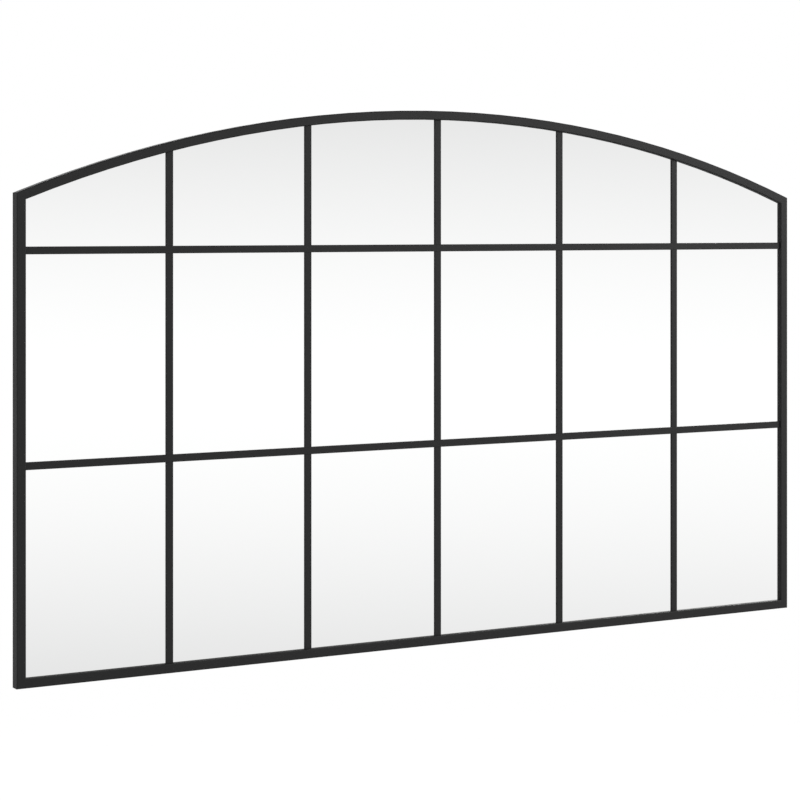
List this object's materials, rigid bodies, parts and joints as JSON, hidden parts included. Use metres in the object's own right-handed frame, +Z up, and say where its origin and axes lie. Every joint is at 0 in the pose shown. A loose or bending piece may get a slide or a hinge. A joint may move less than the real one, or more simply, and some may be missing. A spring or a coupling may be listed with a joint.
{
  "type": "arched window mirror",
  "caption": "Wall mirror like an arched window: slim black steel frame with glazing bars over one mirror pane, backing board under turn clips, keyhole hangers.",
  "frame": {"origin": "half way across the width and half way through the depth, level with the underside of the bottom rail", "axes": "+Z up, +X along the bottom rail to the right of someone looking into the mirror, which faces -Y; the wall is on the +Y side"},
  "size_m": [1, 0.019, 0.5999],
  "materials": {
    "frame_black": "matte black powder coat",
    "mirror": "silvered float glass",
    "foam": "soft polyethylene foam",
    "hardboard": "raw brown hardboard",
    "tape": "black closed-cell foam tape",
    "zinc_steel": "bright zinc plate",
    "rubber": "moulded black rubber"
  },
  "bodies": {
    "mirror": {"left_stile": "frame_black", "right_stile": "frame_black", "bottom_rail": "frame_black", "arch_rail": "frame_black", "lower_cross_bar": "frame_black", "upper_cross_bar": "frame_black", "mullion_1_lower": "frame_black", "mullion_1_middle": "frame_black", "mullion_1_upper": "frame_black", "mullion_2_lower": "frame_black", "mullion_2_middle": "frame_black", "mullion_2_upper": "frame_black", "mullion_3_lower": "frame_black", "mullion_3_middle": "frame_black", "mullion_3_upper": "frame_black", "mullion_4_lower": "frame_black", "mullion_4_middle": "frame_black", "mullion_4_upper": "frame_black", "mullion_5_lower": "frame_black", "mullion_5_middle": "frame_black", "mullion_5_upper": "frame_black", "mirror_pane": "mirror", "foam_sheet": "foam", "backing_board": "hardboard", "edge_tape_left": "tape", "edge_tape_right": "tape", "edge_tape_bottom": "tape", "edge_tape_arch": "tape", "clip_screws": "zinc_steel", "hanger_left": "frame_black", "hanger_right": "frame_black", "wall_bumper_left": "rubber", "wall_bumper_right": "rubber"},
    "clip_left_1": {"turn_clip_left_1": "zinc_steel"},
    "clip_left_2": {"turn_clip_left_2": "zinc_steel"},
    "clip_right_1": {"turn_clip_right_1": "zinc_steel"},
    "clip_right_2": {"turn_clip_right_2": "zinc_steel"},
    "clip_bottom_1": {"turn_clip_bottom_1": "zinc_steel"},
    "clip_arch_1": {"turn_clip_arch_1": "zinc_steel"},
    "clip_bottom_2": {"turn_clip_bottom_2": "zinc_steel"},
    "clip_arch_2": {"turn_clip_arch_2": "zinc_steel"},
    "clip_bottom_3": {"turn_clip_bottom_3": "zinc_steel"},
    "clip_arch_3": {"turn_clip_arch_3": "zinc_steel"}
  },
  "joints": [
    {"name": "clip_left_1_turn", "type": "hinge", "parent": "mirror", "child": "clip_left_1", "pos_m": [-0.496, 0.0035, 0.13], "axis": [0, 1, 0], "continuous": true},
    {"name": "clip_left_2_turn", "type": "hinge", "parent": "mirror", "child": "clip_left_2", "pos_m": [-0.496, 0.0035, 0.36], "axis": [0, 1, 0], "continuous": true},
    {"name": "clip_right_1_turn", "type": "hinge", "parent": "mirror", "child": "clip_right_1", "pos_m": [0.496, 0.0035, 0.13], "axis": [0, 1, 0], "continuous": true},
    {"name": "clip_right_2_turn", "type": "hinge", "parent": "mirror", "child": "clip_right_2", "pos_m": [0.496, 0.0035, 0.36], "axis": [0, 1, 0], "continuous": true},
    {"name": "clip_bottom_1_turn", "type": "hinge", "parent": "mirror", "child": "clip_bottom_1", "pos_m": [-0.335, 0.0035, 0.004], "axis": [0, 1, 0], "continuous": true},
    {"name": "clip_arch_1_turn", "type": "hinge", "parent": "mirror", "child": "clip_arch_1", "pos_m": [-0.335, 0.0035, 0.55407], "axis": [0, 1, 0], "continuous": true},
    {"name": "clip_bottom_2_turn", "type": "hinge", "parent": "mirror", "child": "clip_bottom_2", "pos_m": [0, 0.0035, 0.004], "axis": [0, 1, 0], "continuous": true},
    {"name": "clip_arch_2_turn", "type": "hinge", "parent": "mirror", "child": "clip_arch_2", "pos_m": [0, 0.0035, 0.596], "axis": [0, 1, 0], "continuous": true},
    {"name": "clip_bottom_3_turn", "type": "hinge", "parent": "mirror", "child": "clip_bottom_3", "pos_m": [0.335, 0.0035, 0.004], "axis": [0, 1, 0], "continuous": true},
    {"name": "clip_arch_3_turn", "type": "hinge", "parent": "mirror", "child": "clip_arch_3", "pos_m": [0.335, 0.0035, 0.55407], "axis": [0, 1, 0], "continuous": true}
  ]
}
